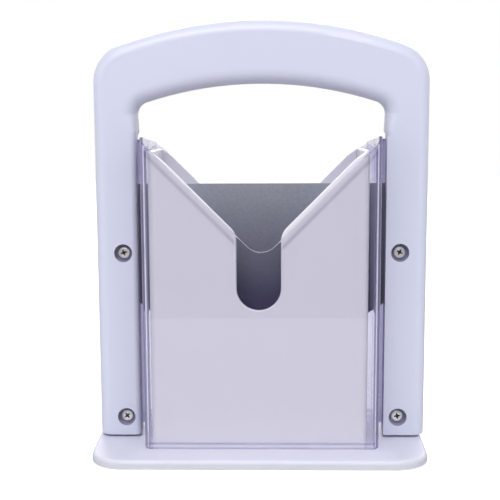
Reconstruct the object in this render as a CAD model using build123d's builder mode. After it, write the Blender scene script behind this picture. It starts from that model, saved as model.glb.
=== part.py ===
from build123d import *
import math
import os

# Bagel guillotine slicer, millimetres.
# X runs to the right, Y to the back and Z up. The origin is at the middle of the
# base, on the surface that the rubber feet stand on.
# A fixed holder stands on the base. A carriage of arch handle, blade and two clear
# safety shields slides straight up and down on the holder and lifts off it.

# Base plate
base_depth = 96.0
base_top = 5.0
base_overhang = 0.1
base_end_bow = 2.0
base_corner_radius = 18.0
base_edge_radius = 2.2
base_skin = 2.2
base_rim = 3.0
base_rib = 1.8
base_boss_wall = 2.2

# Rubber feet
foot_radius = 6.5
foot_proud = 0.8
foot_depth = 1.2
foot_inset = 17.0
foot_edge = 0.4
foot_clearance = 0.15

# Cross-head screws, the same head on every screw
head_radius = 3.3
head_height = 2.2
head_round = 1.1
shank_radius = 1.45
shank_tip = 0.8
cross_length = 4.7
cross_width = 1.15
cross_depth = 1.3
cross_taper = 12.0
thread_clearance = 0.05
hole_clearance = 0.35
head_clearance = 0.4

# Bagel holder, two halves with a slit for the blade between them
holder_width = 114.4
holder_depth = 56.0
holder_top = 163.5
holder_wall = 2.5
holder_side_wall = 2.2
holder_corner_radius = 3.0
holder_slit = 3.0
mouth_margin = 2.2
mouth_ease = 7.2
mouth_ease_angle = 36.0
mouth_ease_radius = 20.0
finger_slot_width = 23.2
finger_slot_rise = 8.6
finger_slot_blend = 10.0
mouth_round = 0.8
seat_height = 71.0
seat_rise = 9.0
seat_thickness = 2.2
gusset_thickness = 1.8
gusset_height = 16.0
gusset_spacing = 24.0
holder_boss_radius = 4.2
holder_boss_height = 22.0
holder_boss_inset = 14.0
base_screw_length = 13.0

# Running fit of the carriage on the holder. It slides with a good deal of side play,
# and at rest it stands a little to the right.
slide_clearance = 3.0
side_play = 1.2
running_gap = 0.3
shield_face_gap = 1.2
shield_floor_gap = 0.3

# Clear safety shields
shield_wall = 1.8
shield_draft = 1.0
shield_corner_radius = 3.5
shield_mouth_gap = 1.9
shield_vertex_radius = 10.1
shield_mouth_blend = 3.0
rear_mouth_ease = 5.2
shield_lip_round = 0.5
shield_front_rise = 6.5
shield_seam_rise = 4.8
shield_rear_rise = 2.8
shield_foot_radius = 1.0
shield_rim_height = 3.0
shield_rim_proud = 0.6
flange_thickness = 1.5
flange_margin = 6.5
flange_foot = 11.0

# Arch handle, two moulded shells that meet in the blade's plane
leg_gap = 3.7
hand_room = 27.9
handle_depth = 19.8
crown_radius = 228.0
grip_height = 33.1
grip_under_radius = 203.0
leg_width = 22.7
rear_relief = 1.6
rear_relief_margin = -0.5
rear_relief_run = 3.0
leg_floor_gap = 1.2
outer_corner_radius = 21.0
inner_corner_radius = 7.0
outer_round = 6.5
inner_round = 3.0
grip_under_round = 7.0
leg_end_edge = 0.6
shell_wall = 3.0
boss_radius = 6.8
leg_screw_inset = 14.9
leg_screw_upper = 107.6
leg_screw_lower = 16.6
counterbore_radius = 4.85
head_recess = 2.6
rear_boss_radius = 4.6
screw_bite = 5.0
clamp_gap = 0.05

# Blade
blade_thickness = 1.0
blade_top = 144.5
blade_below_seat = 2.1
blade_end_run = 14.7
blade_end_rise = 9.6
blade_end_margin = 2.0
blade_corner_radius = 2.0
scallop_pitch = 6.5
scallop_radius = 5.0
scallop_angle = 14.0
scallop_bite = 0.3

overrun = 1.0

# Places that follow from the sizes
mouth_vertex = holder_top - holder_width / 2 + mouth_margin
finger_slot_bottom = seat_height + finger_slot_rise
mouth_ease_slope = math.tan(math.radians(mouth_ease_angle))
shield_vertex = mouth_vertex - shield_mouth_gap
shield_bottom = base_top + shield_floor_gap
shield_front_top = holder_top + shield_front_rise
shield_seam_top = holder_top + shield_seam_rise
shield_rear_top = holder_top + shield_rear_rise
shield_half_depth = holder_depth / 2 + shield_face_gap + shield_wall
shield_half_width = holder_width / 2 + slide_clearance + shield_wall
window_half_width = shield_half_width + shield_draft + leg_gap
handle_half_width = window_half_width + leg_width
handle_half_depth = handle_depth / 2
handle_top = shield_front_top + hand_room + grip_height
leg_bottom = base_top + leg_floor_gap
rear_relief_top = shield_front_top + rear_relief_margin
rear_relief_end = rear_relief_top + rear_relief_run
base_underside = foot_proud
base_half_width = handle_half_width + base_overhang
blade_bottom = seat_height - blade_below_seat
blade_edge_length = 2 * (window_half_width - blade_end_run)
clamp_depth = blade_thickness / 2 + flange_thickness + clamp_gap
leg_screw_x = handle_half_width - leg_screw_inset
screw_seat = handle_half_depth - head_recess - head_height
flange_end = leg_screw_x + flange_margin
base_screw_x = holder_width / 2 - holder_boss_inset
base_screw_y = holder_depth / 2 - holder_wall - holder_boss_radius + overrun

os.makedirs("parts", exist_ok=True)

# Views that the carriage's profiles are drawn in: from the front and from above
carriage_front = Plane(origin=(side_play, 0, 0), x_dir=(1, 0, 0), z_dir=(0, -1, 0))
carriage_plan = Plane(origin=(side_play, 0, 0), x_dir=(1, 0, 0), z_dir=(0, 0, 1))
leg_screw_places = [
    (-leg_screw_x, leg_screw_upper),
    (leg_screw_x, leg_screw_upper),
    (-leg_screw_x, leg_screw_lower),
    (leg_screw_x, leg_screw_lower),
]
base_screw_places = [
    (-base_screw_x, -base_screw_y),
    (base_screw_x, -base_screw_y),
    (-base_screw_x, base_screw_y),
    (base_screw_x, base_screw_y),
]
foot_x = base_half_width - foot_inset
foot_y = base_depth / 2 - foot_inset
foot_places = [(-foot_x, -foot_y), (foot_x, -foot_y), (-foot_x, foot_y), (foot_x, foot_y)]
corner_names = ["front_left", "front_right", "rear_left", "rear_right"]


# Base plate: a shallow moulding with bowed ends, hollow underneath, with ribs,
# bosses for the holder's screws and round recesses for the feet
with BuildSketch() as base_outline:
    with BuildLine():
        end_y = base_depth / 2
        end_x = base_half_width - base_end_bow
        ThreePointArc((end_x, -end_y), (base_half_width, 0), (end_x, end_y))
        Line((end_x, end_y), (-end_x, end_y))
        ThreePointArc((-end_x, end_y), (-base_half_width, 0), (-end_x, -end_y))
        Line((-end_x, -end_y), (end_x, -end_y))
    make_face()
    fillet(base_outline.vertices(), base_corner_radius)

with BuildPart() as base_plate:
    with BuildSketch(Plane.XY.offset(base_underside)):
        add(base_outline.sketch)
    extrude(amount=base_top - base_underside)
    fillet(base_plate.edges().group_by(Axis.Z)[-1], base_edge_radius)
    with BuildSketch(Plane.XY.offset(base_underside)):
        add(base_outline.sketch)
        offset(amount=-base_rim, mode=Mode.REPLACE)
        with Locations(*base_screw_places):
            Circle(head_radius + head_clearance + base_boss_wall, mode=Mode.SUBTRACT)
        with Locations(*foot_places):
            Circle(foot_radius + base_boss_wall, mode=Mode.SUBTRACT)
        with GridLocations(base_screw_x, base_screw_y, 3, 1):
            Rectangle(base_rib, base_depth, mode=Mode.SUBTRACT)
        with GridLocations(base_screw_x, base_screw_y * 2, 1, 2):
            Rectangle(2 * base_half_width, base_rib, mode=Mode.SUBTRACT)
    extrude(amount=base_top - base_underside - base_skin, mode=Mode.SUBTRACT)
    with BuildSketch(Plane.XY.offset(base_underside)):
        with Locations(*foot_places):
            Circle(foot_radius + foot_clearance)
    extrude(amount=foot_depth, mode=Mode.SUBTRACT)
    with BuildSketch(Plane.XY.offset(base_underside)):
        with Locations(*base_screw_places):
            Circle(head_radius + head_clearance)
    extrude(amount=head_height, mode=Mode.SUBTRACT)
    with BuildSketch(Plane.XY.offset(base_underside)):
        with Locations(*base_screw_places):
            Circle(shank_radius + hole_clearance)
    extrude(amount=base_top, mode=Mode.SUBTRACT)
base_plate.part.label = "base_plate"
export_step(base_plate.part, "parts/base_plate.step")


# Rubber feet: discs stuck in the recesses, standing a little proud of the base
for corner, (x, y) in zip(corner_names, foot_places):
    with BuildPart() as foot:
        with BuildSketch(Plane.XY):
            with Locations((x, y)):
                Circle(foot_radius)
        extrude(amount=foot_proud + foot_depth)
        fillet(foot.edges().group_by(Axis.Z)[0], foot_edge)
    foot.part.label = f"foot_{corner}"
    export_step(foot.part, f"parts/foot_{corner}.step")


# A cross-head pan screw on a plane whose normal points out of the head. The plane
# is the seat under the head, and turn is the angle of the cross.
def pan_screw(seat, length, turn):
    outward = Axis(seat.origin, seat.z_dir)
    with BuildPart() as screw:
        with BuildSketch(seat):
            Circle(head_radius)
        extrude(amount=head_height)
        fillet(screw.faces().sort_by(outward)[-1].edges(), head_round)
        with BuildSketch(seat.offset(head_height)):
            Rectangle(cross_length, cross_width, rotation=turn)
            Rectangle(cross_width, cross_length, rotation=turn)
        extrude(amount=-cross_depth, taper=cross_taper, mode=Mode.SUBTRACT)
        with BuildSketch(seat):
            Circle(shank_radius)
        extrude(amount=-length)
        chamfer(screw.faces().sort_by(outward)[0].edges(), shank_tip)
    return screw.part


# Screws that hold the holder's halves down, driven up through the base
base_screw_turns = [35, 5, 70, 50]
for corner, (x, y), turn in zip(corner_names, base_screw_places, base_screw_turns):
    seat = Plane(origin=(x, y, base_underside + head_height), x_dir=(1, 0, 0), z_dir=(0, 0, -1))
    base_screw = pan_screw(seat, base_screw_length, turn)
    base_screw.label = f"base_screw_{corner}"
    export_step(base_screw, f"parts/base_screw_{corner}.step")


# Mouth of the holder: a right-angled V that runs down into the finger slot, and eases
# over to the tops of the side walls
with BuildSketch() as holder_mouth:
    with BuildLine():
        reach = holder_width / 2 + overrun
        ease_x = holder_width / 2 - mouth_ease
        ease_z = mouth_vertex + ease_x
        reach_z = ease_z + (reach - ease_x) * mouth_ease_slope
        slot_half = finger_slot_width / 2
        slot_centre = finger_slot_bottom + slot_half
        Polyline(
            (slot_half, slot_centre),
            (slot_half, mouth_vertex + slot_half),
            (ease_x, ease_z),
            (reach, reach_z),
            (-reach, reach_z),
            (-ease_x, ease_z),
            (-slot_half, mouth_vertex + slot_half),
            (-slot_half, slot_centre),
        )
        RadiusArc((-slot_half, slot_centre), (slot_half, slot_centre), -slot_half)
    make_face()
    blended = [v for v in holder_mouth.vertices() if abs(v.Y - mouth_vertex - slot_half) < overrun]
    fillet(blended, finger_slot_blend)
    eased = [v for v in holder_mouth.vertices() if abs(v.Y - ease_z) < overrun]
    fillet(eased, mouth_ease_radius)

# Front half of the holder: wall, two side returns, curved seat on gussets, and
# two bosses that the base screws bite in
with BuildPart() as holder_front:
    with BuildSketch(Plane.XY.offset(base_top)):
        with BuildLine():
            wall_x = holder_width / 2
            wall_y = holder_depth / 2
            Polyline(
                (-wall_x, -holder_slit / 2),
                (-wall_x, -wall_y),
                (wall_x, -wall_y),
                (wall_x, -holder_slit / 2),
                close=True,
            )
        make_face()
    extrude(amount=holder_top - base_top)
    upright = holder_front.edges().filter_by(Axis.Z).group_by(Axis.Y)[0]
    fillet(upright, holder_corner_radius)
    with BuildSketch(Plane.XY.offset(base_top)):
        with BuildLine():
            bore_x = wall_x - holder_side_wall
            bore_y = wall_y - holder_wall
            Polyline(
                (-bore_x, overrun),
                (-bore_x, -bore_y),
                (bore_x, -bore_y),
                (bore_x, overrun),
                close=True,
            )
        make_face()
    extrude(amount=holder_top - base_top, mode=Mode.SUBTRACT)
    with BuildSketch(Plane.XZ.offset(wall_y + overrun)):
        add(holder_mouth.sketch)
    extrude(amount=-wall_y, mode=Mode.SUBTRACT)
    mouth_edges = [
        e
        for e in holder_front.faces().sort_by(Axis.Y)[0].edges()
        if abs(e.center().X) < holder_width / 2 - finger_slot_width
        and finger_slot_bottom - overrun < e.center().Z < holder_top - overrun
    ]
    fillet(mouth_edges, mouth_round)
    with BuildSketch(Plane.XZ.offset(holder_slit / 2)):
        with BuildLine():
            Polyline(
                (bore_x, seat_height + seat_rise),
                (bore_x, seat_height + seat_rise - seat_thickness),
            )
            ThreePointArc(
                (bore_x, seat_height + seat_rise - seat_thickness),
                (0, seat_height - seat_thickness),
                (-bore_x, seat_height + seat_rise - seat_thickness),
            )
            Line(
                (-bore_x, seat_height + seat_rise - seat_thickness),
                (-bore_x, seat_height + seat_rise),
            )
            ThreePointArc(
                (-bore_x, seat_height + seat_rise),
                (0, seat_height),
                (bore_x, seat_height + seat_rise),
            )
        make_face()
    extrude(amount=bore_y - holder_slit / 2)
    for place in (-1.5, -0.5, 0.5, 1.5):
        gusset_x = place * gusset_spacing
        seat_drop = seat_thickness / 2 - seat_rise * (gusset_x / bore_x) ** 2
        gusset_top = seat_height - seat_drop
        with BuildSketch(Plane.YZ.offset(gusset_x)):
            with BuildLine():
                Polyline(
                    (-bore_y, gusset_top),
                    (-holder_slit / 2, gusset_top),
                    (-bore_y, gusset_top - gusset_height),
                    close=True,
                )
            make_face()
        extrude(amount=gusset_thickness / 2, both=True)
    with BuildSketch(Plane.XY.offset(base_top)):
        with Locations((-base_screw_x, -base_screw_y), (base_screw_x, -base_screw_y)):
            Circle(holder_boss_radius)
    extrude(amount=holder_boss_height)
    with BuildSketch(Plane.XY.offset(base_top)):
        with Locations((-base_screw_x, -base_screw_y), (base_screw_x, -base_screw_y)):
            Circle(shank_radius + thread_clearance)
    extrude(amount=base_screw_length, mode=Mode.SUBTRACT)
holder_front.part.label = "holder_front"
export_step(holder_front.part, "parts/holder_front.step")

# Rear half of the holder, the same moulding turned round
with BuildPart() as holder_rear:
    mirror(holder_front.part, about=Plane.XZ)
holder_rear.part.label = "holder_rear"
export_step(holder_rear.part, "parts/holder_rear.step")


# Handle outline, seen from the front, and the window under its grip
with BuildSketch() as handle_outline:
    with BuildLine():
        crown_end = handle_top - crown_radius + math.sqrt(crown_radius**2 - handle_half_width**2)
        ThreePointArc((-handle_half_width, crown_end), (0, handle_top), (handle_half_width, crown_end))
        Polyline(
            (handle_half_width, crown_end),
            (handle_half_width, leg_bottom),
            (-handle_half_width, leg_bottom),
            (-handle_half_width, crown_end),
        )
    make_face()
    fillet(handle_outline.vertices().group_by(Axis.Y)[-1], outer_corner_radius)

grip_under = handle_top - grip_height
with BuildSketch() as handle_window:
    with BuildLine():
        under_end = grip_under - grip_under_radius
        under_end = under_end + math.sqrt(grip_under_radius**2 - window_half_width**2)
        ThreePointArc((-window_half_width, under_end), (0, grip_under), (window_half_width, under_end))
        Polyline(
            (window_half_width, under_end),
            (window_half_width, leg_bottom - overrun),
            (-window_half_width, leg_bottom - overrun),
            (-window_half_width, under_end),
        )
    make_face()
    fillet(handle_window.vertices().group_by(Axis.Y)[-1], inner_corner_radius)
window_corner = handle_window.edges().filter_by(Axis.Y)[0].bounding_box().max.Y


# A stretch of half a handle between two heights, solid, with its outer edges and the
# edges along the window rounded. The window is wider by the relief.
def handle_stretch(low, high, window_round, relief):
    with BuildPart() as stretch:
        with BuildSketch(carriage_front):
            add(handle_outline.sketch)
        extrude(amount=handle_half_depth)
        face_edges = stretch.edges().group_by(Axis.Y)[0]
        fillet([e for e in face_edges if e.center().Z > leg_bottom + overrun], outer_round)
        with BuildSketch(carriage_front):
            with Locations((0, (low + high) / 2)):
                Rectangle(2 * (handle_half_width + overrun), high - low)
            add(handle_window.sketch, mode=Mode.SUBTRACT)
            if relief:
                window_side = window_half_width + relief
                with Locations((0, (low + high) / 2)):
                    Rectangle(2 * window_side, high - low, mode=Mode.SUBTRACT)
        extrude(amount=handle_half_depth, mode=Mode.INTERSECT)
        inner_reach = window_half_width + relief + running_gap
        window_edges = [
            e
            for e in stretch.faces().sort_by(Axis.Y)[0].edges()
            if abs(e.center().X - side_play) < inner_reach
            and low + running_gap < e.center().Z < grip_under + running_gap
        ]
        fillet(window_edges, window_round)
    return stretch.part


# Half of both legs between two heights, solid, where the window's edge goes over
# from one round to another and the relief comes to its end
def leg_blend(low, high, high_round, relief):
    with BuildPart() as blend:
        for side in (-1, 1):
            for height, window_round, step in ((low, inner_round, relief), (high, high_round, 0)):
                window_side = window_half_width + step
                with BuildSketch(carriage_plan.offset(height)) as section:
                    with BuildLine():
                        Polyline(
                            (side * window_side, 0),
                            (side * window_side, -handle_half_depth),
                            (side * handle_half_width, -handle_half_depth),
                            (side * handle_half_width, 0),
                            close=True,
                        )
                    make_face()
                    face_corners = section.vertices().group_by(Axis.Y)[0]
                    fillet([v for v in face_corners if abs(v.X) > window_side + overrun], outer_round)
                    face_corners = section.vertices().group_by(Axis.Y)[0]
                    fillet([v for v in face_corners if abs(v.X) < window_side + overrun], window_round)
            loft(ruled=True)
    return blend.part


# One half of the handle as both shells share it: outer form, hollow inside, with
# the slot in each leg that the shield's flange and the blade enter by. The grip is
# rounder underneath than the legs are, and each leg goes over from one to the other.
def handle_half(relief):
    with BuildPart() as half:
        add(handle_stretch(leg_bottom, rear_relief_top, inner_round, relief))
        add(leg_blend(rear_relief_top, rear_relief_end, inner_round, relief))
        add(leg_blend(rear_relief_end, window_corner, grip_under_round, 0))
        add(handle_stretch(window_corner, handle_top, grip_under_round, 0))
        leg_ends = half.faces().group_by(Axis.Z)[0]
        end_edges = [e for face in leg_ends for e in face.edges() if e.center().Y < -running_gap]
        fillet(end_edges, leg_end_edge)
        with BuildSketch(carriage_front):
            add(handle_outline.sketch)
            add(handle_window.sketch, mode=Mode.SUBTRACT)
            offset(amount=-shell_wall, mode=Mode.REPLACE)
        extrude(amount=handle_half_depth - shell_wall, mode=Mode.SUBTRACT)
        slot_top = shield_seam_top + running_gap
        slot_bottom = flange_foot - running_gap
        with BuildSketch(carriage_front):
            with Locations((0, (slot_top + slot_bottom) / 2)):
                Rectangle(2 * (window_half_width + shell_wall + overrun), slot_top - slot_bottom)
        extrude(amount=clamp_depth, mode=Mode.SUBTRACT)
    return half.part


# Front shell: bosses press on the flanges, and hold the sunk screw heads
with BuildPart() as handle_front_shell:
    add(handle_half(0))
    with BuildSketch(carriage_front.offset(clamp_depth)):
        with Locations(*leg_screw_places):
            Circle(boss_radius)
    extrude(amount=handle_half_depth - clamp_depth - shell_wall / 2)
    with BuildSketch(carriage_front.offset(handle_half_depth)):
        with Locations(*leg_screw_places):
            Circle(counterbore_radius)
    extrude(amount=screw_seat - handle_half_depth, mode=Mode.SUBTRACT)
    with BuildSketch(carriage_front.offset(handle_half_depth)):
        with Locations(*leg_screw_places):
            Circle(shank_radius + hole_clearance)
    extrude(amount=-handle_half_depth, mode=Mode.SUBTRACT)
handle_front_shell.part.label = "handle_front_shell"
export_step(handle_front_shell.part, "parts/handle_front_shell.step")

# Rear shell: closed bosses that the screws bite in, so its back is smooth
with BuildPart() as handle_rear_shell:
    mirror(handle_half(rear_relief), about=Plane.XZ)
    with BuildSketch(carriage_front.offset(-clamp_depth)):
        with Locations(*leg_screw_places):
            Circle(rear_boss_radius)
    extrude(amount=-(handle_half_depth - clamp_depth - shell_wall / 2))
    with BuildSketch(carriage_front.offset(-clamp_depth)):
        with Locations(*leg_screw_places):
            Circle(shank_radius + thread_clearance)
    extrude(amount=-(screw_bite + running_gap), mode=Mode.SUBTRACT)
handle_rear_shell.part.label = "handle_rear_shell"
export_step(handle_rear_shell.part, "parts/handle_rear_shell.step")

# Screws in the legs. Each cross stands at its own angle, as they were tightened.
leg_screw_names = ["upper_left", "upper_right", "lower_left", "lower_right"]
leg_screw_turns = [20, 65, 40, 10]
for name, (x, z), turn in zip(leg_screw_names, leg_screw_places, leg_screw_turns):
    seat = Plane(origin=(side_play + x, -screw_seat, z), x_dir=(1, 0, 0), z_dir=(0, -1, 0))
    leg_screw = pan_screw(seat, screw_seat + clamp_depth + screw_bite, turn)
    leg_screw.label = f"leg_screw_{name}"
    export_step(leg_screw, f"parts/leg_screw_{name}.step")


# Blade: a flat plate with its ends inside the legs, and a scalloped cutting edge
with BuildPart() as blade:
    with BuildSketch(carriage_front.offset(-blade_thickness / 2)) as blade_face:
        with BuildLine():
            blade_end = handle_half_width - shell_wall - blade_end_margin
            edge_half = blade_edge_length / 2
            Polyline(
                (-edge_half, blade_bottom),
                (edge_half, blade_bottom),
                (window_half_width, blade_bottom + blade_end_rise),
                (blade_end, blade_bottom + blade_end_rise),
                (blade_end, blade_top),
                (-blade_end, blade_top),
                (-blade_end, blade_bottom + blade_end_rise),
                (-window_half_width, blade_bottom + blade_end_rise),
                close=True,
            )
        make_face()
        fillet(blade_face.vertices().sort_by(Axis.X)[:2], blade_corner_radius)
        fillet(blade_face.vertices().sort_by(Axis.X)[-2:], blade_corner_radius)
        with Locations(*leg_screw_places[:2]):
            Circle(shank_radius + hole_clearance, mode=Mode.SUBTRACT)
    extrude(amount=blade_thickness)
    scallop_count = int(blade_edge_length / scallop_pitch)
    scallop_rise = blade_thickness / math.tan(math.radians(scallop_angle))
    scallop_length = 2 * scallop_rise + overrun
    for step in range(scallop_count):
        scallop_x = side_play + (step - (scallop_count - 1) / 2) * scallop_pitch
        tip = Plane(
            origin=(scallop_x, blade_thickness / 2 + scallop_bite, blade_bottom),
            x_dir=(1, 0, 0),
            z_dir=(0, -math.sin(math.radians(scallop_angle)), math.cos(math.radians(scallop_angle))),
        )
        with BuildSketch(tip):
            with Locations((0, -scallop_radius)):
                Circle(scallop_radius)
        extrude(amount=scallop_length, both=True, mode=Mode.SUBTRACT)
blade.part.label = "blade"
export_step(blade.part, "parts/blade.step")


# A clear shield for the front (side -1) or the rear (side 1): a tray with draft on
# its side walls, a V mouth, and flanges that reach into the slots of the legs
def safety_shield(side):
    plate_inner = blade_thickness / 2
    plate_outer = plate_inner + flange_thickness
    seam_half = shield_half_width + shield_draft
    height = shield_front_top - shield_bottom
    mouth_reach = shield_half_width - shield_wall
    half_mouth = [(0, shield_vertex), (mouth_reach, shield_vertex + mouth_reach)]
    if side > 0:
        ease_x = mouth_reach - rear_mouth_ease
        ease_z = shield_vertex + ease_x
        mouth_top = ease_z + rear_mouth_ease * mouth_ease_slope
        half_mouth = [(0, shield_vertex), (ease_x, ease_z), (mouth_reach, mouth_top)]
    half_mouth.append((mouth_reach, shield_front_top + overrun))
    face_inner = shield_half_depth - shield_wall
    draft_slope = shield_draft / (shield_half_depth - plate_inner)
    seam_inner = shield_half_width - shield_wall + draft_slope * (face_inner + overrun)
    with BuildPart() as shield:
        with BuildSketch(carriage_plan.offset(shield_bottom)) as tray:
            with BuildLine():
                Polyline(
                    (-seam_half, side * plate_inner),
                    (-shield_half_width, side * shield_half_depth),
                    (shield_half_width, side * shield_half_depth),
                    (seam_half, side * plate_inner),
                    close=True,
                )
            make_face()
            outer_corners = [v for v in tray.vertices() if abs(v.Y) > shield_half_depth - overrun]
            fillet(outer_corners, shield_corner_radius)
        extrude(amount=height)
        outer_foot = [
            e
            for e in shield.edges().group_by(Axis.Z)[0]
            if abs(e.center().Y) > plate_outer
        ]
        fillet(outer_foot, shield_foot_radius)
        for floor, rim in ((shield_bottom, shield_rim_proud), (shield_bottom + shield_rim_height, 0)):
            bore_y = side * (face_inner - rim)
            bore_x = shield_half_width - shield_wall + rim * draft_slope
            with BuildSketch(carriage_plan.offset(floor)) as bore:
                with BuildLine():
                    Polyline(
                        (-seam_inner, -side * overrun),
                        (-bore_x, bore_y),
                        (bore_x, bore_y),
                        (seam_inner, -side * overrun),
                        close=True,
                    )
                make_face()
                inner_corners = [v for v in bore.vertices() if abs(v.Y) > abs(bore_y) - overrun]
                fillet(inner_corners, shield_corner_radius - shield_wall)
            extrude(amount=height, mode=Mode.SUBTRACT)
        flange_start = seam_half - shield_wall
        flange_middle_x = (flange_start + flange_end) / 2
        flange_middle_z = (flange_foot + shield_front_top) / 2
        with BuildSketch(carriage_front.offset(-side * plate_inner)):
            with Locations((-flange_middle_x, flange_middle_z), (flange_middle_x, flange_middle_z)):
                Rectangle(flange_end - flange_start, shield_front_top - flange_foot)
            with Locations(*leg_screw_places):
                Circle(shank_radius + hole_clearance, mode=Mode.SUBTRACT)
        extrude(amount=-side * flange_thickness)
        with BuildSketch(carriage_front.offset(-side * shield_half_depth)) as mouth:
            with BuildLine():
                Polyline(*half_mouth, *[(-x, z) for x, z in half_mouth[:0:-1]], close=True)
            make_face()
            if side > 0:
                fillet(mouth.vertices().group_by(Axis.Y)[1], mouth_ease_radius)
            fillet(mouth.vertices().group_by(Axis.Y)[0], shield_vertex_radius)
            fillet(mouth.vertices().group_by(Axis.Y)[-2], shield_mouth_blend)
        extrude(amount=side * (shield_half_depth - plate_outer), mode=Mode.SUBTRACT)
        with BuildSketch(Plane.YZ.offset(side_play - flange_end - overrun)):
            with BuildLine():
                top = shield_front_top + overrun
                Polyline(
                    (-shield_half_depth, shield_front_top),
                    (0, shield_seam_top),
                    (shield_half_depth, shield_rear_top),
                    (shield_half_depth, top),
                    (-shield_half_depth, top),
                    close=True,
                )
            make_face()
        extrude(amount=2 * (flange_end + overrun), mode=Mode.SUBTRACT)
        face = shield.faces().filter_by(Axis.Y).sort_by(Axis.Y)[0 if side < 0 else -1]
        lip_edges = [
            e
            for e in face.edges()
            if abs(e.center().X - side_play) < mouth_reach / 2 + overrun and e.center().Z > shield_vertex
        ]
        fillet(lip_edges, shield_lip_round)
    return shield.part


for name, side in (("shield_front", -1), ("shield_rear", 1)):
    shield = safety_shield(side)
    shield.label = name
    export_step(shield, f"parts/{name}.step")
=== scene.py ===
import bpy
import math
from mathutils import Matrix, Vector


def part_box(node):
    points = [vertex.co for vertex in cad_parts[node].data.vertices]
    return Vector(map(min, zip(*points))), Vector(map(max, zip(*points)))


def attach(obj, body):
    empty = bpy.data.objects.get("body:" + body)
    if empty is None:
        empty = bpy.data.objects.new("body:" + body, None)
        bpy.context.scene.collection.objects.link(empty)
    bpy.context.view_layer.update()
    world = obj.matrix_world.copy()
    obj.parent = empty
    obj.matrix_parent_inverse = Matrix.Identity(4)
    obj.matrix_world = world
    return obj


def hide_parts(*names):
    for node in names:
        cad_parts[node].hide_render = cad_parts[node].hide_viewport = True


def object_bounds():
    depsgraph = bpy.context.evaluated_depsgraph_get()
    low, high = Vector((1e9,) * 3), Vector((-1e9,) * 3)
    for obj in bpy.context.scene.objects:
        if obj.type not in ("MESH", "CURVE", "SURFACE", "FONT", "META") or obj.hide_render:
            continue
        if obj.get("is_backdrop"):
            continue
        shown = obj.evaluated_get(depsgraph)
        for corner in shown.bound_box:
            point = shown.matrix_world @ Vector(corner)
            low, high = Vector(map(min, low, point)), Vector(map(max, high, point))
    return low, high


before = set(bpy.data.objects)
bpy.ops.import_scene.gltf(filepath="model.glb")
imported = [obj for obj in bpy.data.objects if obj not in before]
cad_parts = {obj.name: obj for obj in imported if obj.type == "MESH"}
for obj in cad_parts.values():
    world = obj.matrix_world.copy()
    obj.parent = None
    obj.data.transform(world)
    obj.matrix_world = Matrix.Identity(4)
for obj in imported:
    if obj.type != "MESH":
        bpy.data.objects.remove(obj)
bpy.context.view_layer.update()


# Base plate. A shallow injection moulding in lavender white plastic with a soft gloss.
# It lies flat under the holder, a little lighter than the handle, with a very fine
# mould texture and the faint scuffs of a piece that is wiped often.
base_colour = (0.66, 0.668, 0.782, 1)
# painted shade for the faces of the base that turn from the top
base_edge_shade_tint = (0.84, 0.84, 0.81, 1)
drift_shade = (0.86, 0.86, 0.9, 1)
drift_depth = 0.12
polish_spread = 0.06
relief_depth = 0.0001


# a socket takes another node's output, or a plain number or colour
def feed(socket, source):
    if isinstance(source, bpy.types.NodeSocket):
        socket.id_data.links.new(source, socket)
    else:
        socket.default_value = source


# adds one node, sets its choices, then feeds its sockets
def add_node(nodes, kind, place, fed=None, **choices):
    added = nodes.new("ShaderNode" + kind)
    added.location = place
    for key, value in choices.items():
        setattr(added, key, value)
    for socket_name, source in (fed or {}).items():
        feed(added.inputs[socket_name], source)
    return added


def noise(nodes, place, vector, scale, detail, roughness):
    fed = {"Vector": vector, "Scale": scale, "Detail": detail, "Roughness": roughness}
    return add_node(nodes, "TexNoise", place, fed).outputs["Fac"]


def map_range(nodes, place, value, source, target):
    fed = {
        "Value": value,
        "From Min": source[0],
        "From Max": source[1],
        "To Min": target[0],
        "To Max": target[1],
    }
    return add_node(nodes, "MapRange", place, fed).outputs["Result"]


# 0 before a start and 1 past an end, or the other way round
def rising(nodes, place, value, start, end):
    return map_range(nodes, place, value, (start, end), (0.0, 1.0))


def falling(nodes, place, value, start, end):
    return map_range(nodes, place, value, (start, end), (1.0, 0.0))


def arithmetic(nodes, place, operation, *operands):
    added = add_node(nodes, "Math", place, operation=operation)
    for socket, operand in zip(added.inputs, operands):
        feed(socket, operand)
    return added.outputs["Value"]


def mix_colours(nodes, place, factor, first, second, blend="MIX"):
    fed = {"Factor": factor, "A": first, "B": second}
    mixed = add_node(nodes, "Mix", place, fed, data_type="RGBA", blend_type=blend)
    return mixed.outputs["Result"]


def axes_of(nodes, place, vector):
    return add_node(nodes, "SeparateXYZ", place, {"Vector": vector}).outputs


def bump(nodes, place, height, strength):
    fed = {"Strength": strength, "Distance": relief_depth, "Height": height}
    return add_node(nodes, "Bump", place, fed).outputs["Normal"]


def new_material(name):
    material = bpy.data.materials.new(name)
    material.use_nodes = True
    nodes = material.node_tree.nodes
    return material, nodes, nodes["Principled BSDF"].inputs


def new_group(name, inputs, outputs):
    group = bpy.data.node_groups.new(name, "ShaderNodeTree")
    for in_out, sockets in (("INPUT", inputs), ("OUTPUT", outputs)):
        for socket_name, kind in sockets.items():
            group.interface.new_socket(
                name=socket_name, in_out=in_out, socket_type="NodeSocket" + kind
            )
    given = group.nodes.new("NodeGroupInput")
    given.location = (-1100, 0)
    made = group.nodes.new("NodeGroupOutput")
    made.location = (700, 0)
    return group, given.outputs, made.inputs


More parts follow.
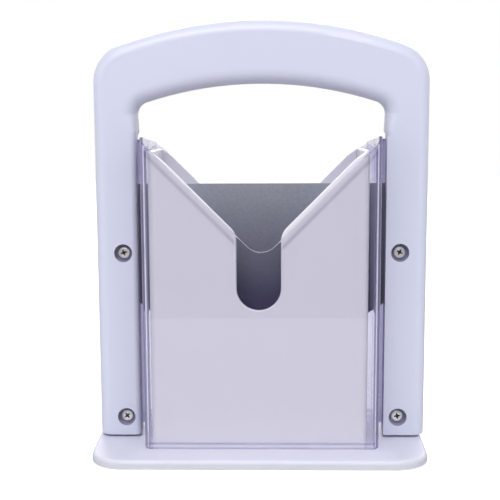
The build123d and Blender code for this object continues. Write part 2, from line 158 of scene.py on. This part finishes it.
# fine scratches: two sets of long thin noise streaks at right angles, cut to their crests
def scuffs_group():
    group, given, made = new_group("Fine scuffs", {"Amount": "Float"}, {"Mask": "Float"})
    nodes = group.nodes
    place = add_node(nodes, "TexCoord", (-1100, -300)).outputs["Object"]
    stretches = ((90.0, 900.0, 2600.0), (2200.0, 900.0, 70.0))
    crests = []
    for row, stretch in enumerate(stretches):
        fed = {"Vector": place, "Rotation": (0.2, 0.5 + row, 0.3), "Scale": stretch}
        turned = add_node(nodes, "Mapping", (-900, -300 * row), fed).outputs["Vector"]
        streak = noise(
            nodes, (-650, -300 * row), turned, scale=1.0, detail=2.0, roughness=0.5
        )
        crests.append(rising(nodes, (-400, -300 * row), streak, 0.66, 0.74))
    either = arithmetic(nodes, (-150, 0), "MAXIMUM", *crests)
    feed(made["Mask"], arithmetic(nodes, (100, 0), "MULTIPLY", either, given["Amount"]))
    return group


fine_scuffs = scuffs_group()


def moulded_surface_group():
    group, given, made = new_group(
        "Moulded surface",
        {"Colour": "Color", "Shade": "Float", "Gloss": "Float", "Wear": "Float"},
        {"Colour": "Color", "Roughness": "Float", "Height": "Float"},
    )
    nodes = group.nodes
    place = add_node(nodes, "TexCoord", (-1100, -300)).outputs["Object"]

    # slow drift of the colour, as in a thick moulding that cooled unevenly
    drift = noise(nodes, (-850, 300), place, scale=9.0, detail=1.0, roughness=0.4)
    depth = arithmetic(nodes, (-350, 300), "MULTIPLY", drift, given["Shade"])
    plain = given["Colour"]
    darker = mix_colours(nodes, (0, 300), depth, plain, drift_shade, "MULTIPLY")
    feed(made["Colour"], darker)

    # the polish varies slowly, and scuffs break it
    patches = noise(nodes, (-850, 0), place, scale=14.0, detail=1.5, roughness=0.4)
    spread = (-polish_spread, polish_spread)
    polish = map_range(nodes, (-600, 0), patches, (0.0, 1.0), spread)
    polished = arithmetic(nodes, (-150, 0), "ADD", given["Gloss"], polish)
    fed = {"Amount": given["Wear"]}
    scuffs = add_node(nodes, "Group", (-350, -150), fed, node_tree=fine_scuffs)
    scuffed = arithmetic(nodes, (100, 0), "ADD", polished, scuffs.outputs["Mask"])
    feed(made["Roughness"], scuffed)

    # mould texture, finer than a millimetre
    grain = noise(nodes, (-850, -300), place, scale=1400.0, detail=3.0, roughness=0.55)
    feed(made["Height"], grain)
    return group


moulded_surface = moulded_surface_group()


def white_plastic(name, colour, gloss, wear):
    material, nodes, shader = new_material(name)
    fed = {"Colour": colour, "Shade": drift_depth, "Gloss": gloss, "Wear": wear}
    surface = add_node(nodes, "Group", (-500, 0), fed, node_tree=moulded_surface).outputs
    feed(shader["Base Color"], surface["Colour"])
    feed(shader["Roughness"], surface["Roughness"])
    feed(shader["Normal"], bump(nodes, (-250, -250), surface["Height"], strength=0.05))
    shader["IOR"].default_value = 1.5
    return material


# where a mask is 1, the colour that a material already has is multiplied by a tint
def tint_where(nodes, mask, tint):
    colour = nodes["Principled BSDF"].inputs["Base Color"]
    plain = colour.links[0].from_socket
    feed(colour, mix_colours(nodes, (-250, 200), mask, plain, tint, "MULTIPLY"))


def finish_node(name, material):
    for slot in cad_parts[name].material_slots:
        slot.material = material


# painted shade greys the outer edge of the base, where its faces turn from the top and get
# less light
def shade_base_edge(material):
    nodes = material.node_tree.nodes
    facing = add_node(nodes, "TexCoord", (-1000, 500)).outputs["Normal"]
    upward = axes_of(nodes, (-800, 500), facing)["Z"]
    tint_where(nodes, falling(nodes, (-600, 500), upward, 0.5, 0.97), base_edge_shade_tint)


base_plastic = white_plastic("Base plastic", base_colour, gloss=0.37, wear=0.12)
shade_base_edge(base_plastic)
finish_node("base_plate", base_plastic)


# Feet. Four discs of black rubber, glued into the recesses under the base. Their faces
# are matt, with a fine pitted grain and pale dust in it.
rubber_black = (0.018, 0.018, 0.02, 1)
rubber_dust = (0.07, 0.07, 0.075, 1)


# a colour that runs from one stop to the next, each a position and a colour
def two_tone(nodes, place, value, *stops):
    ramp = add_node(nodes, "ValToRGB", place, {"Fac": value})
    for element, (position, colour) in zip(ramp.color_ramp.elements, stops):
        element.position = position
        element.color = colour
    return ramp.outputs["Color"]


def foot_rubber():
    material, nodes, shader = new_material("Foot rubber")
    place = add_node(nodes, "TexCoord", (-1000, 0)).outputs["Object"]
    pits = noise(nodes, (-750, 0), place, scale=1800.0, detail=3.0, roughness=0.6)
    dust = noise(nodes, (-750, 300), place, scale=320.0, detail=4.0, roughness=0.6)
    colour = two_tone(nodes, (-450, 300), dust, (0.45, rubber_black), (0.8, rubber_dust))
    feed(shader["Base Color"], colour)
    feed(shader["Roughness"], map_range(nodes, (-450, 0), pits, (0.2, 0.8), (0.7, 0.92)))
    feed(shader["Normal"], bump(nodes, (-250, -250), pits, strength=0.4))
    return material


rubber = foot_rubber()
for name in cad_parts:
    if name.startswith("foot"):
        finish_node(name, rubber)


# Bagel holder. Two equal mouldings stand face to face on the base, with a slit for the
# blade between them, and four screws from below hold them. Their colour is painted lighter
# than the handle's, as painted light for what the shields hold back, and the rear one's
# is painted a little greyer, as painted shade.
# painted light: lighter than the handle's plastic, for what the shields hold back
holder_lightened_colour = (0.76, 0.745, 0.83, 1)
# painted shade: the rear moulding is the same plastic, painted greyer
rear_holder_shade_colour = (0.7, 0.685, 0.785, 1)
front_plastic = white_plastic("Holder plastic painted lighter", holder_lightened_colour, gloss=0.38, wear=0.1)
rear_shaded_plastic = white_plastic(
    "Rear holder plastic in painted shade", rear_holder_shade_colour, gloss=0.38, wear=0.1
)
finish_node("holder_front", front_plastic)
finish_node("holder_rear", rear_shaded_plastic)


# Arch handle. Two shells of lavender white plastic, screwed together through the legs,
# and polished a little by hands at the grip.
handle_colour = (0.575, 0.587, 0.722, 1)
# painted shade for the deep screw wells
well_shade_tint = (0.6, 0.585, 0.63, 1)
well_radius = 0.0049
well_blur = 0.00002


def distance_from(nodes, place, value, mark):
    away = arithmetic(nodes, place, "SUBTRACT", value, mark)
    return arithmetic(nodes, (place[0] + 150, place[1]), "ABSOLUTE", away)


# painted shade darkens the walls of the four screw wells, deep in the legs
def shade_screw_wells(material):
    nodes = material.node_tree.nodes
    upper_low, upper_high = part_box("leg_screw_upper_right")
    lower_low, lower_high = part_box("leg_screw_lower_right")
    other_low, other_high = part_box("leg_screw_upper_left")
    axis_x = (upper_low.x + upper_high.x) / 2
    middle_x = (other_low.x + other_high.x + 2 * axis_x) / 4
    well_heights = ((upper_low.z + upper_high.z) / 2, (lower_low.z + lower_high.z) / 2)
    place = add_node(nodes, "TexCoord", (-1600, 500)).outputs["Object"]
    axes = axes_of(nodes, (-1450, 500), place)
    either_side = distance_from(nodes, (-1300, 700), axes["X"], middle_x)
    across = arithmetic(nodes, (-1000, 700), "SUBTRACT", either_side, axis_x - middle_x)
    rises = [
        distance_from(nodes, (-1300, 300 - 200 * row), axes["Z"], well_height)
        for row, well_height in enumerate(well_heights)
    ]
    nearest = arithmetic(nodes, (-1000, 300), "MINIMUM", *rises)
    offset = add_node(nodes, "CombineXYZ", (-850, 500), {"X": across, "Y": nearest})
    fed = {"Vector": offset.outputs["Vector"]}
    reach = add_node(nodes, "VectorMath", (-700, 500), fed, operation="LENGTH")
    wall = (well_radius - well_blur, well_radius + well_blur)
    inside = falling(nodes, (-550, 500), reach.outputs["Value"], *wall)
    tint_where(nodes, inside, well_shade_tint)


handle_plastic = white_plastic("Handle plastic", handle_colour, gloss=0.36, wear=0.1)
shade_screw_wells(handle_plastic)
finish_node("handle_front_shell", handle_plastic)
finish_node("handle_rear_shell", handle_plastic)


# Blade. A sheet of steel with a dark grey coat, finely speckled, with painted shade that
# darkens it towards its lower edge. The scallops of its edge are ground through the coat
# to the bare metal.
coat_dark = (0.34, 0.355, 0.42, 1)
coat_light = (0.4, 0.42, 0.49, 1)
# painted shade for the lower part of the blade
low_shade_tint = (0.16, 0.12, 0.27, 1)
bare_steel = (0.62, 0.62, 0.64, 1)
ground_height = 0.012
ground_blur = 0.001
ground_shine = -0.14
grind_stretch = (4200.0, 400.0, 160.0)


# a level that is one number where a mask is 0 and another where it is 1
def level(nodes, place, mask, off, on):
    return map_range(nodes, place, mask, (0.0, 1.0), (off, on))


def mix_values(nodes, place, factor, first, second):
    fed = {"Factor": factor, "A": first, "B": second}
    return add_node(nodes, "Mix", place, fed, data_type="FLOAT").outputs["Result"]


def coated_steel():
    material, nodes, shader = new_material("Coated steel")
    place = add_node(nodes, "TexCoord", (-1200, 0)).outputs
    height = axes_of(nodes, (-900, -500), place["Object"])["Z"]
    facing = axes_of(nodes, (-900, -300), place["Normal"])["Z"]
    blade_low, blade_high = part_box("blade")
    speckle = noise(
        nodes, (-900, 200), place["Object"], scale=900.0, detail=3.0, roughness=0.6
    )
    coat = two_tone(nodes, (-650, 200), speckle, (0.3, coat_dark), (0.7, coat_light))

    # painted shade darkens the coat towards the lower edge of the blade, deep in the holder
    low_shade = falling(nodes, (-650, 450), height, blade_low.z, blade_high.z)
    toned = mix_colours(nodes, (-400, 350), low_shade, coat, low_shade_tint, "MULTIPLY")

    # ground facets lean out of the sheet's plane, and lie close to its lower edge
    leaning = arithmetic(nodes, (-700, -300), "ABSOLUTE", facing)
    ground = rising(nodes, (-500, -300), leaning, 0.08, 0.2)
    edge_top = blade_low.z + ground_height
    near_edge = falling(nodes, (-500, -500), height, edge_top, edge_top + ground_blur)
    bare = arithmetic(nodes, (-300, -400), "MULTIPLY", ground, near_edge)
    fed = {"Vector": place["Object"], "Scale": grind_stretch}
    grind = add_node(nodes, "Mapping", (-1000, -800), fed).outputs["Vector"]
    grind_lines = noise(
        nodes, (-750, -800), grind, scale=1.0, detail=2.0, roughness=0.5
    )

    feed(shader["Base Color"], mix_colours(nodes, (-250, 200), bare, toned, bare_steel))
    feed(shader["Metallic"], level(nodes, (-100, -150), bare, off=0.5, on=1.0))
    coat_rough = map_range(nodes, (-500, -100), speckle, (0.2, 0.8), (0.4, 0.5))
    shine = arithmetic(nodes, (-100, -350), "MULTIPLY", bare, ground_shine)
    feed(shader["Roughness"], arithmetic(nodes, (50, -350), "ADD", coat_rough, shine))
    relief = mix_values(nodes, (-250, -700), bare, speckle, grind_lines)
    feed(shader["Normal"], bump(nodes, (50, -700), relief, strength=0.12))
    return material


finish_node("blade", coated_steel())


# Safety shields. Two trays of clear polished plastic either side of the blade, held by
# flanges in the legs. The plastic is faintly lavender in its thickness, and its faces
# carry fine hairlines from wiping.

# its colours and how rough it is, in the broad walls and in the parts that carry painted
# shade
wall_tint = (0.985, 0.983, 0.992, 1)
# partly the plastic's own lavender, partly painted shade on the cut edges
edge_lavender_and_shade = (0.79, 0.78, 0.86, 1)
# painted shade for the flanges inside the legs
flange_shade_tint = (0.6, 0.59, 0.7, 1)
# painted shade for two thin lines along the lower edge
lower_edge_shade_tint = (0.62, 0.61, 0.7, 1)
# painted shadow along the V's arms
lip_shadow_tint = (0.78, 0.775, 0.81, 1)
# painted shade for the top corners
corner_shade_tint = (0.76, 0.75, 0.83, 1)
thickness_tint = (0.6, 0.59, 0.74, 1)
thickness_density = 48.0
wall_haze = (0.02, 0.045)
hairline_depth = 0.06
cut_roughness = 0.22

# where those parts lie, and over what length each of them fades
flange_offset = 0.0042
flange_blur = 0.0004
shade_line_heights = (0.0004, 0.003)
shade_line_soft = (0.0003, 0.0008)
lip_drop = 0.0038
lip_soft = (0.0003, 0.0022)
slot_half = 0.0116
slot_blur = 0.0015
side_blur = 0.001
side_heights = (0.146, 0.15)
top_heights = (0.161, 0.1635)

# what it lets through of a lamp, and the painted glow it gives out
lamp_through_edge = (0.92, 0.91, 0.95, 1)
lamp_through_wall = (1, 1, 1, 1)
deep_bounces = 3.5
painted_glow_colour = (0.76, 0.745, 1, 1)
deep_glow = 0.09
edge_glow = 0.04
flange_glow = 0.03
corner_glow = 0.03
# painted highlight at the foot of the V's cut edge
slot_painted_highlight = 0.3


# each mask is 1 on its part of the shields and 0 elsewhere
def shield_masks(nodes, axes, facing):
    holder_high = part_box("holder_front")[1]
    shield_low, shield_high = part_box("shield_front")
    either_side = arithmetic(nodes, (-750, 1200), "ABSOLUTE", axes["X"])
    upright = arithmetic(nodes, (-750, 400), "ABSOLUTE", facing["Y"])
    wall = rising(nodes, (-600, 400), upright, 0.3, 0.8)

    # the flanges reach into the legs, and are darkened there with painted shade
    flange_start = holder_high.x + flange_offset
    flange_end = flange_start + flange_blur
    flange = rising(nodes, (-600, 1200), either_side, flange_start, flange_end)

    # two thin dark lines of painted shade run along the lower edge
    lines = []
    for row, shade_line_height in enumerate(shade_line_heights):
        line_height = shield_low.z + shade_line_height
        away = distance_from(nodes, (-750, 700 + 200 * row), axes["Z"], line_height)
        lines.append(falling(nodes, (-450, 700 + 200 * row), away, *shade_line_soft))
    lower_edge_shade = arithmetic(nodes, (-300, 800), "MAXIMUM", *lines)

    # a painted shadow of the V's cut edge: a soft dark line along the V's arms, a little
    # below it
    shield_middle = (shield_low.x + shield_high.x) / 2
    along_arm = distance_from(nodes, (-750, 1500), axes["X"], shield_middle)
    fall = arithmetic(nodes, (-450, 1500), "SUBTRACT", axes["Z"], along_arm)
    lip_height = holder_high.z - holder_high.x - lip_drop
    off_lip = distance_from(nodes, (-300, 1500), fall, lip_height)
    lip = falling(nodes, (0, 1500), off_lip, *lip_soft)
    off_slot = rising(nodes, (0, 1800), either_side, slot_half, slot_half + slot_blur)
    arm_shadow = arithmetic(nodes, (100, 1650), "MULTIPLY", lip, off_slot)

    # the rounded top corners stand clear of the holder, and carry the deepest painted shade
    side_end = holder_high.x + side_blur
    outside = rising(nodes, (-600, 1800), either_side, holder_high.x, side_end)
    upper = map_range(nodes, (-600, 2000), axes["Z"], side_heights, (0.5, 1.0))
    beside = arithmetic(nodes, (-400, 1900), "MULTIPLY", outside, upper)
    above_holder = rising(nodes, (-600, 2200), axes["Z"], *top_heights)
    corner = arithmetic(nodes, (-250, 2000), "MAXIMUM", beside, above_holder)
    return {
        "wall": wall, "flange": flange, "lower_edge_shade": lower_edge_shade, "lip": arm_shadow,
        "corner": corner, "outside": outside, "off slot": off_slot,
    }


def shield_roughness(nodes, place, facing):
    smudge = noise(nodes, (-750, 0), place, scale=26.0, detail=3.0, roughness=0.5)
    haze = map_range(nodes, (-500, 0), smudge, (0.35, 0.75), wall_haze)
    fed = {"Amount": hairline_depth}
    hairlines = add_node(nodes, "Group", (-500, -250), fed, node_tree=fine_scuffs)
    rough = arithmetic(nodes, (-250, 0), "ADD", haze, hairlines.outputs["Mask"])

    # the cut edges face up or down, and are less polished than the walls
    leaning = arithmetic(nodes, (-750, -450), "ABSOLUTE", facing["Z"])
    matt = (0.0, cut_roughness)
    cut_matt = map_range(nodes, (-500, -450), leaning, (0.15, 0.45), matt)
    return arithmetic(nodes, (-100, -100), "ADD", rough, cut_matt)


# the cut edges and side walls are tinted with the plastic's lavender and darkened with
# painted shade, and painted shade deepens it in the flanges, the lines along the lower
# edge, the shadow along the V's arms and the corners
def shield_tint_and_shade(nodes, masks):
    tint = mix_colours(nodes, (-400, 400), masks["wall"], edge_lavender_and_shade, wall_tint)
    gathered = (
        ("flange", flange_shade_tint, "MIX"),
        ("lower_edge_shade", lower_edge_shade_tint, "MIX"),
        ("lip", lip_shadow_tint, "MULTIPLY"),
        ("corner", corner_shade_tint, "MULTIPLY"),
    )
    for column, (part, part_tint, blend) in enumerate(gathered):
        place = (-250 + 150 * column, 400)
        tint = mix_colours(nodes, place, masks[part], tint, part_tint, blend)
    return tint


# painted glow: the plastic glows lavender where rays have bounced long inside it, and on
# its edges, flanges and corners
def painted_shield_glow(nodes, path, masks):
    seen = arithmetic(nodes, (-250, 850), "LESS_THAN", path["Diffuse Depth"], 0.5)
    bounces = path["Ray Depth"]
    deep = arithmetic(nodes, (-250, 700), "GREATER_THAN", bounces, deep_bounces)
    deep_seen = arithmetic(nodes, (-150, 700), "MULTIPLY", deep, seen)
    painted_deep_glow = arithmetic(nodes, (-50, 700), "MULTIPLY", deep_seen, deep_glow)

    # a painted highlight on the foot of the V's cut edge, in front of the slot, the
    # brightest glow of all
    cut_edge = level(nodes, (-350, 1400), masks["wall"], off=slot_painted_highlight, on=0.0)
    in_slot = level(nodes, (-350, 1550), masks["off slot"], off=1.0, on=0.0)
    brightest = level(nodes, (-350, 1100), masks["wall"], off=edge_glow, on=0.0)
    others = (
        arithmetic(nodes, (-350, 950), "MULTIPLY", masks["flange"], flange_glow),
        arithmetic(nodes, (-350, 1250), "MULTIPLY", masks["outside"], corner_glow),
        arithmetic(nodes, (-125, 1450), "MULTIPLY", cut_edge, in_slot),
    )
    for column, other in enumerate(others):
        place = (-200 + 100 * column, 1100 + 125 * column)
        brightest = arithmetic(nodes, place, "MAXIMUM", brightest, other)
    glow_seen = arithmetic(nodes, (50, 1100), "MULTIPLY", brightest, seen)
    glow = arithmetic(nodes, (200, 850), "MAXIMUM", painted_deep_glow, glow_seen)
    return mix_colours(nodes, (350, 850), glow, (0, 0, 0, 1), painted_glow_colour)


def clear_plastic():
    material, nodes, shader = new_material("Clear plastic")
    output = nodes["Material Output"].inputs
    shader["Transmission Weight"].default_value = 1.0
    shader["IOR"].default_value = 1.47
    shader["Emission Strength"].default_value = 1.0
    place = add_node(nodes, "TexCoord", (-1000, 0)).outputs
    axes = axes_of(nodes, (-900, 1200), place["Object"])
    facing = axes_of(nodes, (-900, 400), place["Normal"])
    path = add_node(nodes, "LightPath", (-300, 500)).outputs
    masks = shield_masks(nodes, axes, facing)
    feed(shader["Roughness"], shield_roughness(nodes, place["Object"], facing))
    feed(shader["Base Color"], shield_tint_and_shade(nodes, masks))
    # the plastic's painted glow
    feed(shader["Emission Color"], painted_shield_glow(nodes, path, masks))

    # lamps shine through, a little less at the edges
    lamp_tint = mix_colours(
        nodes, (-200, 300), masks["wall"], lamp_through_edge, lamp_through_wall
    )
    lamp_light = add_node(nodes, "BsdfTransparent", (0, 300), {"Color": lamp_tint})
    surface = nodes["Principled BSDF"].outputs["BSDF"]
    lit = add_node(nodes, "MixShader", (450, 200))
    ways = (path["Is Shadow Ray"], surface, lamp_light.outputs["BSDF"])
    for socket, source in zip(lit.inputs, ways):
        feed(socket, source)
    feed(output["Surface"], lit.outputs["Shader"])
    fed = {"Color": thickness_tint, "Density": thickness_density}
    body = add_node(nodes, "VolumeAbsorption", (0, -400), fed)
    feed(output["Volume"], body.outputs["Volume"])
    return material


shield_plastic = clear_plastic()
finish_node("shield_front", shield_plastic)
finish_node("shield_rear", shield_plastic)


# Screws. Bright zinc plated steel, turned, with a rolled thread and a punched cross.
# Four sit sunk in the front of the legs and bite in the rear shell, and four come up
# through the base into the holder.
bright_tones = ((0.8, 0.78, 0.76, 1), (0.97, 0.96, 0.95, 1))
# painted shade for the punched cross, deep in the head
cross_shade_tones = ((0.05, 0.047, 0.045, 1), (0.13, 0.125, 0.12, 1))
head_radius = 0.0033
head_height = 0.0022
head_round = 0.0011
cross_length = 0.0043
cross_width = 0.00105
cross_depth = 0.0015
cross_taper = (0.5, 0.62, 1)
point_radius = cross_width * 1.05
point_height = cross_depth * 1.5
point_sink = cross_depth * 0.45
shank_radius = 0.00135
thread_height = 0.0003
thread_pitch = 0.001
tip_length = 0.0022
tip_share = 0.25
edge_round = 0.00007
edge_angle = 0.6

# how far each cross stands turned, in degrees
leg_turns = {"upper_left": 20, "upper_right": 65, "lower_left": 40, "lower_right": 10}
base_turns = {"front_left": 35, "front_right": 5, "rear_left": 70, "rear_right": 50}


def plated_steel(name, dark, light):
    material, nodes, shader = new_material(name)
    place = add_node(nodes, "TexCoord", (-1000, 0)).outputs["Object"]
    plating = noise(nodes, (-750, 0), place, scale=700.0, detail=4.0, roughness=0.6)
    colour = two_tone(nodes, (-450, 200), plating, (0.3, dark), (0.7, light))
    feed(shader["Base Color"], colour)
    rough = map_range(nodes, (-450, -100), plating, (0.3, 0.7), (0.3, 0.42))
    feed(shader["Roughness"], rough)
    shader["Metallic"].default_value = 0.6
    return material


screw_steel = plated_steel("Bright steel", *bright_tones)
cross_shade_steel = plated_steel("Cross recess painted shade", *cross_shade_tones)


def choose_faces(mesh, keep):
    for face in mesh.polygons:
        face.select = keep(face)
    for edge in mesh.edges:
        edge.select = False
    for vertex in mesh.vertices:
        vertex.select = False
    for face in mesh.polygons:
        if face.select:
            for index in face.vertices:
                mesh.vertices[index].select = True


def keep_only(piece):
    bpy.ops.object.select_all(action="DESELECT")
    piece.select_set(True)
    bpy.context.view_layer.objects.active = piece


def apply_modifier(piece, kind, name, **settings):
    keep_only(piece)
    modifier = piece.modifiers.new(name, kind)
    for key, value in settings.items():
        setattr(modifier, key, value)
    bpy.ops.object.modifier_apply(modifier=modifier.name)


# a punch sinks its shape into the screw, and is taken away
def sink(screw, name, punch):
    settings = {"operation": "DIFFERENCE", "material_mode": "TRANSFER", "object": punch}
    apply_modifier(screw, "BOOLEAN", name, **settings)
    bpy.data.objects.remove(punch)


# one wing of the punch that sinks the cross: a bar that narrows towards its foot
def cross_wing(turn):
    bpy.ops.object.select_all(action="DESELECT")
    bpy.ops.mesh.primitive_cube_add(size=1, location=(0, 0, head_height))
    wing = bpy.context.object
    wing.scale = (cross_length, cross_width, cross_depth * 2)
    bpy.ops.object.transform_apply(location=True, rotation=True, scale=True)
    choose_faces(wing.data, lambda face: face.normal.z < -0.5)
    bpy.ops.object.mode_set(mode="EDIT")
    bpy.ops.transform.resize(value=cross_taper)
    bpy.ops.object.mode_set(mode="OBJECT")
    wing.rotation_euler = (0, 0, turn)
    bpy.ops.object.transform_apply(location=True, rotation=True, scale=True)
    wing.data.materials.append(cross_shade_steel)
    return wing


# the point of the punch, which drills the middle of the cross
def cross_point():
    bpy.ops.object.select_all(action="DESELECT")
    bpy.ops.mesh.primitive_cone_add(
        vertices=24,
        radius1=0,
        radius2=point_radius,
        depth=point_height,
        location=(0, 0, head_height - point_sink),
    )
    point = bpy.context.object
    point.data.materials.append(cross_shade_steel)
    return point


# the screw is turned with its seat at the origin and its head up, then copied and placed
def pan_screw(length):
    bpy.ops.object.select_all(action="DESELECT")
    bpy.ops.mesh.primitive_cylinder_add(
        vertices=48, radius=head_radius, depth=head_height, location=(0, 0, head_height / 2)
    )
    bpy.ops.object.transform_apply(location=True, rotation=True, scale=True)
    screw = bpy.context.object
    choose_faces(screw.data, lambda face: face.normal.z > 0.9)
    bpy.ops.object.mode_set(mode="EDIT")
    bpy.ops.mesh.select_mode(type="FACE")
    bpy.ops.mesh.region_to_loop()
    bpy.ops.mesh.bevel(offset=head_round, segments=6, profile=0.5, affect="EDGES")
    bpy.ops.object.mode_set(mode="OBJECT")

    # the shank is drawn out of the head's underside, ring by ring, with the thread's crests
    choose_faces(screw.data, lambda face: face.normal.z < -0.9)
    bpy.ops.object.mode_set(mode="EDIT")
    bpy.ops.mesh.select_mode(type="FACE")
    bpy.ops.mesh.inset(thickness=head_radius - shank_radius)
    crest = (shank_radius + thread_height) / shank_radius
    one_turn = [(thread_pitch / 4, crest), (thread_pitch / 4, 1.0), (thread_pitch / 2, 1.0)]
    turn_count = int((length - thread_pitch - tip_length) / thread_pitch)
    steps = [(thread_pitch, 1.0)] + one_turn * turn_count + [(tip_length, tip_share)]
    width = 1.0
    for drop, goal in steps:
        bpy.ops.mesh.extrude_region_move(TRANSFORM_OT_translate={"value": (0, 0, -drop)})
        bpy.ops.transform.resize(value=(goal / width, goal / width, 1))
        width = goal
    bpy.ops.object.mode_set(mode="OBJECT")

    screw.data.materials.append(screw_steel)
    screw.data.materials.append(cross_shade_steel)
    for turn in (0, math.pi / 2):
        sink(screw, "cross", cross_wing(turn))
    sink(screw, "bore", cross_point())
    edges = {"limit_method": "ANGLE", "angle_limit": edge_angle}
    apply_modifier(screw, "BEVEL", "edges", width=edge_round, segments=2, **edges)
    keep_only(screw)
    bpy.ops.object.shade_smooth_by_angle(angle=edge_angle)
    return screw


def place_screw(pattern, node, seat, tilt, turn, body):
    screw = pattern.copy()
    screw.data = pattern.data.copy()
    screw.name = node + "_turned"
    bpy.context.collection.objects.link(screw)
    keep_only(screw)
    screw.rotation_euler = (0, 0, math.radians(turn))
    bpy.ops.object.transform_apply(location=False, rotation=True, scale=False)
    screw.rotation_euler = (math.radians(tilt), 0, 0)
    screw.location = seat
    bpy.ops.object.transform_apply(location=True, rotation=True, scale=True)
    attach(screw, body)
    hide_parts(node)


def screw_length(node, axis):
    low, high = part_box(node)
    return high[axis] - low[axis] - head_height


leg_pattern = pan_screw(screw_length("leg_screw_upper_left", 1))
for corner, turn in leg_turns.items():
    node = "leg_screw_" + corner
    low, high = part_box(node)
    seat = ((low.x + high.x) / 2, low.y + head_height, (low.z + high.z) / 2)
    place_screw(leg_pattern, node, seat, 90, turn, "carriage")
bpy.data.objects.remove(leg_pattern)

base_pattern = pan_screw(screw_length("base_screw_front_left", 2))
for corner, turn in base_turns.items():
    node = "base_screw_" + corner
    low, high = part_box(node)
    seat = ((low.x + high.x) / 2, (low.y + high.y) / 2, low.z + head_height)
    place_screw(base_pattern, node, seat, 180, turn, "holder_base")
bpy.data.objects.remove(base_pattern)


# Floor. A pale table top that ends a forearm's length in front of the object. It shows
# white to the camera and keeps a soft shadow.
floor_width = 4.0
floor_depth = 3.0
floor_middle = 1.1
floor_colour = (0.9, 0.9, 0.91, 1)
mirrored_floor = (0.26, 0.26, 0.28, 1)
floor_glow = 0.6


# 1 for what the camera sees straight or through clear plastic, before any matt bounce
def seen_directly(nodes, path):
    ways = (path["Is Camera Ray"], path["Is Transmission Ray"])
    direct = arithmetic(nodes, (-500, -300), "MAXIMUM", *ways)
    first = arithmetic(nodes, (-500, -500), "LESS_THAN", path["Diffuse Depth"], 0.5)
    return arithmetic(nodes, (-350, -400), "MULTIPLY", direct, first)


bpy.ops.object.select_all(action="DESELECT")
bpy.ops.mesh.primitive_plane_add(size=1)
floor = bpy.context.object
floor.name = "floor"
for vertex in floor.data.vertices:
    vertex.co.x *= floor_width
    vertex.co.y = vertex.co.y * floor_depth + floor_middle
floor_paint, nodes, shader = new_material("Floor paint")
path = add_node(nodes, "LightPath", (-900, -300)).outputs
mirrored = path["Is Glossy Ray"]
paint = mix_colours(nodes, (-500, 200), mirrored, floor_colour, mirrored_floor)
feed(shader["Base Color"], paint)
direct = seen_directly(nodes, path)
glow = arithmetic(nodes, (-200, -300), "MULTIPLY", direct, floor_glow)
feed(shader["Emission Strength"], glow)
shader["Emission Color"].default_value = (1, 1, 1, 1)
shader["Roughness"].default_value = 0.7
floor.data.materials.append(floor_paint)
floor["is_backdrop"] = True


# Studio air. White to the camera, and a soft dome of light on the object that is
# brightest overhead and dim at eye level in front.
soft_level = 0.42
bent_share = 0.88
front_level = 0.02
studio = bpy.data.worlds.new("Studio")
bpy.context.scene.world = studio
studio.use_nodes = True
nodes = studio.node_tree.nodes
air = nodes["Background"].inputs
air["Color"].default_value = (1, 1, 1, 1)
path = add_node(nodes, "LightPath", (-900, -500)).outputs
heading = add_node(nodes, "TexCoord", (-900, 200)).outputs["Generated"]
axes = axes_of(nodes, (-700, 200), heading)

# metal mirrors the dome, and matt faces get the same soft level all round
overhead = map_range(nodes, (-500, 300), axes["Z"], (0.0, 0.8), (0.0, 0.75))
behind = map_range(nodes, (-500, 0), axes["Y"], (-0.95, 0.2), (0.02, 0.95))
dome = arithmetic(nodes, (-250, 200), "MAXIMUM", overhead, behind)
soft_light = mix_values(nodes, (-100, 200), path["Is Glossy Ray"], soft_level, dome)
unbent = level(nodes, (-100, 400), path["Is Transmission Ray"], off=1.0, on=bent_share)
counted = arithmetic(nodes, (50, 300), "MULTIPLY", soft_light, unbent)

# the backdrop is white, but what the plastic mirrors in front is dim
mirrored = arithmetic(nodes, (-500, -700), "GREATER_THAN", path["Glossy Depth"], 0.5)
toward_front = arithmetic(nodes, (-500, -900), "LESS_THAN", axes["Y"], 0.0)
mirrored_front = arithmetic(nodes, (-300, -800), "MULTIPLY", mirrored, toward_front)
backdrop = level(nodes, (-100, -800), mirrored_front, off=1.0, on=front_level)
direct = seen_directly(nodes, path)
feed(air["Strength"], mix_values(nodes, (200, 0), direct, counted, backdrop))


# Lamps. Large soft boxes, as over a product table: one overhead, one in front, one on
# each side and one behind. Each hangs at its place and is aimed at the object's middle.
object_middle = (0, 0, 0.11)


def soft_box(name, place, size, power):
    bpy.ops.object.light_add(type="AREA", location=place)
    lamp = bpy.context.object
    lamp.name = name
    lamp.data.shape = "RECTANGLE"
    lamp.data.size, lamp.data.size_y = size
    lamp.data.energy = power
    lamp.visible_transmission = False
    toward = [a - b for a, b in zip(object_middle, place)]
    flat = math.hypot(toward[0], toward[1])
    tilt, heading = math.atan2(flat, -toward[2]), math.atan2(-toward[0], toward[1])
    lamp.rotation_euler = (tilt, 0, heading)


soft_box("overhead", (0, -0.2, 1.3), size=(1.2, 0.9), power=1.5)
soft_box("front", (-0.15, -1.1, 1.3), size=(1.2, 0.8), power=19)
soft_box("left", (-1.2, -0.9, 0.5), size=(0.8, 0.9), power=2.4)
soft_box("right", (1.2, -0.9, 0.5), size=(0.8, 0.9), power=2.8)
soft_box("rear", (0.1, 1.5, 1.1), size=(1.6, 0.8), power=15)


# Camera. A short telephoto in front, just above the shields and a touch to the right,
# fitted so that the object stands in the frame as it does in the photograph.
camera_place = (0.00612, -0.51778, 0.17616)
camera_turn = (82.5, 0.25, 1.207)
bpy.ops.object.camera_add(location=camera_place)
camera = bpy.context.object
camera.rotation_euler = [math.radians(angle) for angle in camera_turn]
camera.data.lens = 68.62
camera.data.sensor_width = 36
bpy.context.scene.camera = camera
bpy.context.scene.view_settings.view_transform = "Standard"

low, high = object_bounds()
